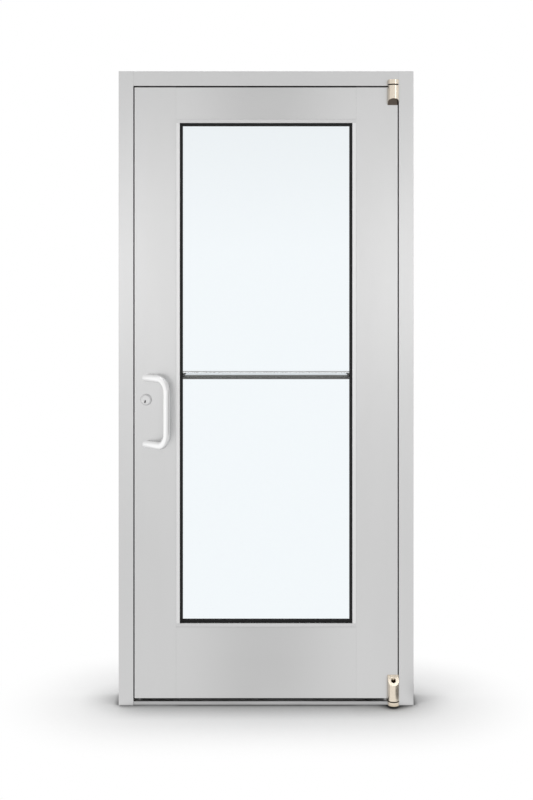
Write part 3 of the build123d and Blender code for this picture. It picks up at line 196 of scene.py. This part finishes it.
def remap(tree, value, start, end=(0.0, 1.0), smooth=False):
    """A value that crosses one span while another crosses its own, and stays within it."""
    span = tree.nodes.new("ShaderNodeMapRange")
    if smooth:
        span.interpolation_type = "SMOOTHSTEP"
    span.inputs["From Min"].default_value, span.inputs["From Max"].default_value = start
    span.inputs["To Min"].default_value, span.inputs["To Max"].default_value = end
    link(tree, value, span.inputs["Value"])
    return span.outputs["Result"]


def fade(tree, value, span):
    """A smooth step from 0 to 1 while a value crosses a span."""
    return remap(tree, value, span, smooth=True)


def between(tree, pattern, low, high):
    """A value that goes from low to high as a noise goes from its dark to its light parts."""
    return remap(tree, pattern, NOISE_SPAN, (low, high))


def colour_ramp(tree, value, stops):
    """A colour that follows a value through stops, each a position and a colour."""
    ramp = tree.nodes.new("ShaderNodeValToRGB")
    elements = ramp.color_ramp.elements
    while len(elements) < len(stops):
        elements.new(0.5)
    for element, (position, colour) in zip(elements, stops):
        element.position = position
        element.color = (*colour, 1)
    link(tree, value, ramp.inputs["Fac"])
    return ramp.outputs["Color"]


def blend_colours(tree, pattern, dark, light):
    """A colour between two, following a noise."""
    return colour_ramp(tree, pattern, list(zip(NOISE_SPAN, (dark, light))))


def mix_colours(tree, factor, first, second):
    """The first colour at 0 and the second at 1, each a plain colour or a node's output."""
    mix = tree.nodes.new("ShaderNodeMix")
    mix.data_type = "RGBA"
    link(tree, factor, mix.inputs["Factor"])
    set_input(tree, mix.inputs[6], first)
    set_input(tree, mix.inputs[7], second)
    return mix.outputs[2]


def mix_values(tree, factor, first, second):
    """The first value at 0 and the second at 1, each a number or a node's output."""
    mix = tree.nodes.new("ShaderNodeMix")
    link(tree, factor, mix.inputs["Factor"])
    set_input(tree, mix.inputs["A"], first)
    set_input(tree, mix.inputs["B"], second)
    return mix.outputs["Result"]


def mix_shaders(tree, factor, first, second):
    """The first shader at 0 and the second at 1."""
    mix = tree.nodes.new("ShaderNodeMixShader")
    link(tree, factor, mix.inputs["Fac"])
    link(tree, first, mix.inputs[1])
    link(tree, second, mix.inputs[2])
    return mix.outputs["Shader"]


def join_values(tree, operation, *values):
    """One value from others, each a number or a node's output."""
    node = tree.nodes.new("ShaderNodeMath")
    node.operation = operation
    for socket, value in zip(node.inputs, values):
        set_input(tree, socket, value)
    return node.outputs["Value"]


def glow(tree, colour, strength):
    """A surface that shows a colour whatever light falls on it."""
    emission = tree.nodes.new("ShaderNodeEmission")
    emission.inputs["Color"].default_value = (*colour, 1)
    set_input(tree, emission.inputs["Strength"], strength)
    return emission.outputs["Emission"]


def bump(tree, shader, height, distance, strength=1.0):
    """Let a noise raise and lower the surface by a distance in metres."""
    relief = tree.nodes.new("ShaderNodeBump")
    relief.inputs["Distance"].default_value = distance
    relief.inputs["Strength"].default_value = strength
    link(tree, height, relief.inputs["Height"])
    link(tree, relief.outputs["Normal"], shader.inputs["Normal"])


def in_corners(tree, reach, span):
    """0 deep in a corner and 1 in the open, from how much of its surroundings a place sees."""
    open_sky = tree.nodes.new("ShaderNodeAmbientOcclusion")
    open_sky.inputs["Distance"].default_value = reach
    open_sky.samples = 8
    return remap(tree, open_sky.outputs["AO"], span)


def grain_scale(along, across, lengthwise):
    """Scales for grain that runs along one axis: 0 is X, 1 is Y and 2 is Z."""
    return tuple(lengthwise if axis == along else across for axis in range(3))


def brushed_metal(
    name,
    colour,
    rough,
    along=Z_AXIS,
    contrast=0.012,
    line_depth=BRUSHED_LINES,
    across=900.0,
    metallic=1.0,
    joint_shade=False,
    ends=None,
):
    """Metal with fine lines along one axis, and slow changes of tone and gloss over its length.
    It can be darkened in narrow joints, a painted shade. With ends, its tone, a painted shade in
    the door's middle, turns to the anodised tone from one distance off the door's middle to
    another."""
    material, tree, shader = new_material(name)
    shader.inputs["Metallic"].default_value = metallic
    lines = noise(tree, grain_scale(along, across, 3.0), detail=4.0, roughness=0.6)
    clouds = noise(tree, grain_scale(along, 9.0, 2.5), detail=2.0)
    dark = tuple(channel * (1 - contrast) for channel in colour)
    light = tuple(min(1.0, channel * (1 + contrast)) for channel in colour)
    surface = blend_colours(tree, clouds, dark, light)
    # Painted shade: the tone is darker towards the door's middle
    if ends:
        off_middle = join_values(tree, "ABSOLUTE", coordinates(tree, "Object")["X"])
        surface = mix_colours(tree, fade(tree, off_middle, ends), surface, ANODISED)
    # Painted shade: darkened in narrow joints, where a place sees little of its surroundings
    if joint_shade:
        surface = mix_colours(tree, in_corners(tree, JOINT_SHADE_REACH, (0.25, 0.6)), JOINT_SHADE_TONE, surface)
    link(tree, surface, shader.inputs["Base Color"])
    link(tree, between(tree, lines, rough * 0.94, rough * 1.06), shader.inputs["Roughness"])
    bump(tree, shader, lines, line_depth)
    return material


def pivot_nickel():
    """Satin nickel with fine turned lines, with painted shade, brown, towards its sides and in its
    corners, and dark underneath.
    """
    material, tree, shader = new_material("pivot_nickel")
    shader.inputs["Metallic"].default_value = 1.0
    lines = noise(tree, grain_scale(Z_AXIS, 1500.0, 200.0), detail=4.0, roughness=0.6)
    clouds = noise(tree, (60, 60, 60), detail=3.0)
    bright = blend_colours(tree, clouds, tuple(channel * 0.96 for channel in NICKEL), NICKEL)
    # Painted shade: brown where the pivot is hemmed in by the door
    colour = mix_colours(tree, in_corners(tree, PIVOT_SIDE_SHADE_REACH, (0.40, 0.86)), PIVOT_SIDE_SHADE, bright)
    # Painted shade on faces that point down
    faces_up = fade(tree, coordinates(tree, "Normal")["Z"], (-0.6, -0.2))
    link(tree, mix_colours(tree, faces_up, PIVOT_UNDERSIDE_SHADE, colour), shader.inputs["Base Color"])
    link(tree, between(tree, lines, 0.20, 0.25), shader.inputs["Roughness"])
    bump(tree, shader, lines, BRUSHED_LINES)
    return material


def key_plug_metal():
    """The plug's brushed face, with painted shade round its key slot, and the slot's inside
    painted near black as shade.
    """
    material, tree, shader = new_material("key_plug")
    shader.inputs["Metallic"].default_value = 1.0
    lines = noise(tree, (2000, 3, 2000), detail=3.0)
    face = blend_colours(tree, lines, grey(0.58), grey(0.64))
    place = tree.nodes.new("ShaderNodeTexCoord")
    shift = tree.nodes.new("ShaderNodeMapping")
    shift.vector_type = "TEXTURE"
    shift.inputs["Location"].default_value = (KEY_AXIS[0], 0, KEY_AXIS[1])
    shift.inputs["Scale"].default_value = (KEY_SLOT_SHADE_PATCH[0], 1000, KEY_SLOT_SHADE_PATCH[1])
    off_slot = tree.nodes.new("ShaderNodeVectorMath")
    off_slot.operation = "LENGTH"
    link(tree, place.outputs["Object"], shift.inputs["Vector"])
    link(tree, shift.outputs["Vector"], off_slot.inputs[0])
    # Painted shade round the key slot
    face_with_slot_shade = mix_colours(tree, fade(tree, off_slot.outputs["Value"], (0.5, 1.1)), grey(0.06), face)
    slot = tuple(KEY_FACE + depth for depth in KEY_SLOT_DEPTHS)
    in_slot = remap(tree, coordinates(tree, "Object")["Y"], slot)
    # Painted shade: the inside of the slot is near black
    link(tree, mix_colours(tree, in_slot, face_with_slot_shade, grey(0.012)), shader.inputs["Base Color"])
    link(tree, between(tree, lines, 0.24, 0.32), shader.inputs["Roughness"])
    return material


def pull_metal():
    """Satin aluminium, with painted shade on the side towards the glass, a painted dark reflection
    along that side's edge, and painted light on its back.
    """
    material = brushed_metal(
        "pull_aluminium", PULL, 0.15, contrast=0.01, across=1500.0, metallic=0.36
    )
    tree = material.node_tree
    base_colour = tree.nodes["Principled BSDF"].inputs["Base Color"]
    colour = base_colour.links[0].from_socket
    facing = coordinates(tree, "Normal")
    # Painted shade, a painted dark reflection and painted light, by which way the surface faces
    for axis, span, tone in (
        ("X", (-0.25, 0.10), PULL_RIGHT_SHADE),
        ("X", (0.72, 0.90), PULL_EDGE_DARK_REFLECTION),
        ("Y", (0.05, 0.35), PULL_BACK_LIGHT),
    ):
        colour = mix_colours(tree, fade(tree, facing[axis], span), colour, tone)
    link(tree, colour, base_colour)
    return material


def rubber(name, tone, rough):
    """Matt rubber with a fine moulded skin."""
    material, tree, shader = new_material(name)
    skin = noise(tree, (1500, 1500, 1500), detail=2.0)
    clouds = noise(tree, (25, 25, 25), detail=3.0)
    colour = blend_colours(tree, clouds, grey(tone * 0.7), grey(tone * 1.3))
    link(tree, colour, shader.inputs["Base Color"])
    link(tree, between(tree, clouds, rough * 0.9, rough * 1.1), shader.inputs["Roughness"])
    shader.inputs["Specular IOR Level"].default_value = 0.35
    bump(tree, shader, skin, 0.00003)
    return material


def pile():
    """Dark woven pile: upright fibres that catch a little light at their tips."""
    material, tree, shader = new_material("pile")
    fibres = noise(tree, (2600, 900, 2600), detail=3.0, roughness=0.7)
    link(tree, blend_colours(tree, fibres, grey(0.012), grey(0.06)), shader.inputs["Base Color"])
    shader.inputs["Roughness"].default_value = 0.9
    shader.inputs["Sheen Weight"].default_value = 0.3
    bump(tree, shader, fibres, 0.0004)
    return material


def glass():
    """Clear tempered glass, very slightly blue, with the faint waviness of a tempered pane."""
    material, tree, shader = new_material("glass")
    shader.inputs["Base Color"].default_value = (*GLASS, 1)
    shader.inputs["Roughness"].default_value = 0.0
    shader.inputs["IOR"].default_value = 1.5
    shader.inputs["Transmission Weight"].default_value = 1.0
    waves = noise(tree, (3.0, 3.0, 1.2), detail=1.0)
    bump(tree, shader, waves, 0.0002, strength=0.04)
    return material


def threshold_metal():
    """Mill-finish aluminium that feet have scuffed: blotched gloss and fine scratches."""
    material, tree, shader = new_material("threshold")
    shader.inputs["Metallic"].default_value = 1.0
    scuffs = noise(tree, (6, 60, 60), detail=6.0, roughness=0.7)
    scratches = noise(tree, (40, 900, 900), detail=3.0)
    link(tree, blend_colours(tree, scuffs, grey(0.48), grey(0.58)), shader.inputs["Base Color"])
    link(tree, between(tree, scuffs, 0.30, 0.48), shader.inputs["Roughness"])
    bump(tree, shader, scratches, 0.00003)
    return material


upright_aluminium = brushed_metal("upright_aluminium", ANODISED, 0.30, joint_shade=True)
# Painted shade: a little darker than the uprights
header_aluminium = brushed_metal("header_aluminium", HEADER_SHADE, 0.30, along=X_AXIS, joint_shade=True)
# The rails, darker towards the door's middle: painted shade
level_aluminium = brushed_metal(
    "level_aluminium", RAIL_SHADED_MIDDLE, 0.30, along=X_AXIS, joint_shade=True, ends=RAIL_SHADE_ENDS
)
upright_bead = brushed_metal("upright_bead", UPRIGHT_BEAD, 0.34)
# Painted shade: the level beads darker than the upright ones
shaded_level_bead = brushed_metal("shaded_level_bead", LEVEL_BEAD_SHADE, 0.34, along=X_AXIS)

SLOT_MATERIALS = {
    "anodised": upright_aluminium,
    "threshold": threshold_metal(),
    "door_stop": upright_aluminium,
    "pile": pile(),
    "bead": upright_bead,
    "gasket": rubber("gasket", 0.006, 0.6),
    "glass": glass(),
    "setting_block": rubber("setting_block", 0.02, 0.7),
    "inner_aluminium": brushed_metal("inner_aluminium", grey(0.55), 0.35, contrast=0.06),
    "inner_steel": brushed_metal("inner_steel", ZINC, 0.35, contrast=0.10),
    "pivot_nickel": pivot_nickel(),
    "pivot_steel": brushed_metal("pivot_steel", grey(0.50), 0.20, contrast=0.04),
    # Near black: painted shade
    "bushing": brushed_metal("bushing", BUSHING_SHADE, 0.50, contrast=0.10),
    "screw_steel": brushed_metal("screw_steel", grey(0.58), 0.25, contrast=0.05),
    "pull_aluminium": pull_metal(),
    "push_bar": brushed_metal(
        "push_bar", PUSH_BAR, 0.09, along=X_AXIS, contrast=0.01, line_depth=POLISHED_LINES
    ),
    "lock_plate": brushed_metal("lock_plate", grey(0.62), 0.28, contrast=0.05),
    "lock_bolt": brushed_metal("lock_bolt", grey(0.48), 0.32, contrast=0.08),
    "cylinder": brushed_metal(
        "cylinder", grey(0.66), 0.26, contrast=0.03, across=2000.0, metallic=0.4
    ),
    "sweep_rubber": rubber("sweep_rubber", 0.014, 0.65),
}

# Nodes that don't take their slot's material
OWN_MATERIALS = {
    "key_plug": key_plug_metal(),
    "cylinder_collars": brushed_metal(
        "cylinder_collar", grey(0.74), 0.24, across=2000.0, metallic=0.5
    ),
    "header": header_aluminium,
    "header_stop": header_aluminium,
    "top_rail": level_aluminium,
    "bottom_rail": level_aluminium,
    "outer_top_bead": shaded_level_bead,
    "outer_bottom_bead": shaded_level_bead,
    "inner_top_bead": shaded_level_bead,
    "inner_bottom_bead": shaded_level_bead,
}


def dress_nodes():
    """Give every node its material, by its slot or by its own name."""
    for part in frame["record"]["subparts"]:
        name = part["node"]
        material = OWN_MATERIALS.get(name, SLOT_MATERIALS[part["material_slot"]])
        for place in frame["nodes"][name].material_slots:
            place.material = material


def add_camera():
    """The camera stands level, square to the door, with the frame shifted down to the floor."""
    data = bpy.data.cameras.new("camera")
    data.sensor_fit = "VERTICAL"
    data.sensor_height = SENSOR
    data.lens = SENSOR * PIXELS_PER_METRE * CAMERA_DISTANCE / IMAGE_HEIGHT
    data.shift_x = (IMAGE_WIDTH / 2 - MIDDLE_COLUMN) / IMAGE_HEIGHT
    data.shift_y = (HORIZON_ROW - IMAGE_HEIGHT / 2) / IMAGE_HEIGHT
    data.clip_end = FARTHEST_SEEN
    camera = bpy.data.objects.new("camera", data)
    door_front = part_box("header")[0].y
    camera.location = (0, door_front - CAMERA_DISTANCE, CAMERA_HEIGHT)
    camera.rotation_euler = (math.radians(90), 0, 0)
    bpy.context.scene.collection.objects.link(camera)
    bpy.context.scene.camera = camera


def turn_to(thing, target):
    """Turn a lamp or a card to face a point."""
    away = thing.location - Vector(target)
    thing.rotation_euler = away.to_track_quat("Z", "Y").to_euler()


def add_area_light(name, place, target, size, power):
    """A soft rectangular lamp that faces a point."""
    data = bpy.data.lights.new(name, "AREA")
    data.shape = "RECTANGLE"
    data.size, data.size_y = size
    data.energy = power
    lamp = bpy.data.objects.new(name, data)
    lamp.location = place
    turn_to(lamp, target)
    bpy.context.scene.collection.objects.link(lamp)
    return lamp


def glass_switches(tree, path):
    """1 for a ray that metal behind the glass has just mirrored, and 1 for a ray that has gone
    in through the glass and come back to its front."""
    crossed = path["Transmission Depth"]
    behind = join_values(tree, "GREATER_THAN", crossed, BEHIND_PANE)
    mirrored = join_values(tree, "MULTIPLY", behind, path["Is Reflection Ray"])
    return mirrored, join_values(tree, "GREATER_THAN", crossed, BACK_THROUGH_PANE)


def surround_strength(tree, path):
    """The surround is white. Metal mirrors it a little softer overhead, and metal behind the glass
    mirrors the dark side of the studio low down in front and a dim back."""
    height = coordinates(tree, "Generated")["Z"]
    overhead = remap(tree, height, (0.0, CEILING_HEIGHT), (1.0, CEILING))
    strength = mix_values(tree, path["Is Glossy Ray"], 1.0, overhead)
    mirrored, back_in_front = glass_switches(tree, path)
    strength = mix_values(tree, mirrored, strength, BACK_BEHIND_GLASS)
    stops = [(position, grey(tone)) for position, tone in FRONT_BEHIND_GLASS]
    return mix_values(tree, back_in_front, strength, colour_ramp(tree, height, stops))


def add_world():
    """A white surround to look at, and a softer one that lights the door."""
    world = bpy.data.worlds.new("studio")
    world.use_nodes = True
    bpy.context.scene.world = world
    tree = world.node_tree
    path = tree.nodes.new("ShaderNodeLightPath").outputs
    lighting = tree.nodes["Background"]
    lighting.inputs["Color"].default_value = (1, 1, 1, 1)
    lighting.inputs["Strength"].default_value = AMBIENT
    backdrop = tree.nodes.new("ShaderNodeBackground")
    backdrop.inputs["Color"].default_value = (1, 1, 1, 1)
    link(tree, surround_strength(tree, path), backdrop.inputs["Strength"])
    looked_at = path["Is Camera Ray"]
    for ray in ("Is Glossy Ray", "Is Transmission Ray"):
        looked_at = join_values(tree, "MAXIMUM", looked_at, path[ray])
    surface = mix_shaders(
        tree, looked_at, lighting.outputs["Background"], backdrop.outputs["Background"]
    )
    link(tree, surface, tree.nodes["World Output"].inputs["Surface"])


def floor_material():
    """A pale floor that keeps the door's shadow, darkened near the door and to a dark line where
    it meets it by painted shadow, and fades into the white surround away from it.
    In mirrors it glows dark close to the door and darker beside its right end, and darker still to
    metal behind the glass: painted dark reflections."""
    material, tree, shader = new_material("studio_floor")
    shader.inputs["Roughness"].default_value = 1.0
    shader.inputs["Specular IOR Level"].default_value = 0.0
    path = tree.nodes.new("ShaderNodeLightPath").outputs
    place = coordinates(tree, "Object")
    ahead = join_values(tree, "ABSOLUTE", place["Y"])
    aside = join_values(tree, "ABSOLUTE", place["X"])
    past_shade = join_values(tree, "SUBTRACT", aside, FLOOR_SHADE_WIDTH)
    past_shade = join_values(tree, "MAXIMUM", past_shade, 0.0)
    squares = [join_values(tree, "MULTIPLY", side, side) for side in (ahead, past_shade)]
    distance = join_values(tree, "SQRT", join_values(tree, "ADD", *squares))

    # Painted shadow: the floor darker where the door hems it in
    contact = in_corners(tree, CONTACT_REACH, (0.3, 1.0))
    shaded = mix_colours(tree, contact, grey(FLOOR_TONE * CONTACT_SHADOW_SHARE), grey(FLOOR_TONE))
    # Painted shadow: a dark line where the floor meets the door
    crease = in_corners(tree, CREASE_REACH, (0.45, 0.95))
    crease = join_values(tree, "MAXIMUM", crease, fade(tree, aside, CREASE_END))
    colour = mix_colours(tree, crease, grey(CREASE_SHADOW_TONE), shaded)
    link(tree, colour, shader.inputs["Base Color"])

    white = join_values(tree, "MAXIMUM", path["Is Camera Ray"], path["Is Transmission Ray"])
    for share in (fade(tree, distance, FLOOR_FADE), contact):
        white = join_values(tree, "MULTIPLY", white, share)
    surface = mix_shaders(tree, white, shader.outputs["BSDF"], glow(tree, grey(1), 1.0))

    # Painted dark reflection: the floor glows dark in mirrors near the door, darker beside its
    # right end
    away = fade(tree, distance, FLOOR_FADE_IN_METAL)
    strength = remap(tree, away, (0.0, 1.0), (FLOOR_DARK_IN_METAL, 1.0))
    beside = fade(tree, place["X"], FLOOR_DARK_BESIDE)
    for way, limit in ((ahead, DARK_BESIDE_DEPTH), (place["X"], DARK_BESIDE_WIDTH)):
        beside = join_values(tree, "MULTIPLY", beside, join_values(tree, "LESS_THAN", way, limit))
    share = join_values(tree, "MULTIPLY_ADD", beside, -DARK_BESIDE_SHARE, 1.0)
    in_metal = glow(tree, grey(1), join_values(tree, "MULTIPLY", strength, share))
    surface = mix_shaders(tree, path["Is Reflection Ray"], surface, in_metal)

    # Painted dark reflection: to metal behind the glass the floor glows darker
    away = fade(tree, distance, FADE_BEHIND_GLASS)
    strength = join_values(tree, "MULTIPLY_ADD", away, 1 - NEAR_BEHIND_GLASS, NEAR_BEHIND_GLASS)
    either = join_values(tree, "MAXIMUM", *glass_switches(tree, path))
    surface = mix_shaders(tree, either, surface, glow(tree, FLOOR_BEHIND_GLASS, strength))
    link(tree, surface, tree.nodes["Material Output"].inputs["Surface"])
    return material


def add_floor():
    """The studio floor, level with the bottom of the jambs."""
    bpy.ops.mesh.primitive_plane_add(size=FLOOR_SIZE, location=(0, 0, 0))
    floor = bpy.context.object
    floor.name = "studio_floor"
    floor.data.materials.append(floor_material())


def add_card(name, place, target, size):
    """A dark card that shows only in reflections, to model the round metal pieces."""
    bpy.ops.mesh.primitive_plane_add(size=1, location=place)
    card = bpy.context.object
    card.name = name
    card.scale = (*size, 1)
    turn_to(card, target)
    material, _, shader = new_material(name)
    shader.inputs["Base Color"].default_value = (*grey(CARD_TONE), 1)
    shader.inputs["Roughness"].default_value = 1.0
    shader.inputs["Specular IOR Level"].default_value = 0.0
    card.data.materials.append(material)
    card.visible_camera = False
    card.visible_diffuse = False
    card.visible_shadow = False
    card.visible_transmission = False


dress_nodes()
add_camera()
add_world()
add_floor()
add_area_light("overhead", *OVERHEAD_LAMP)
for side_lamp in SIDE_LAMPS:
    add_area_light("side", *side_lamp)
left_lamp = add_area_light("left", *LEFT_LAMP)
left_lamp.visible_glossy = False
add_area_light("right", *RIGHT_LAMP)
add_card("right_card", *CARD)

bpy.context.scene.view_settings.view_transform = "Standard"
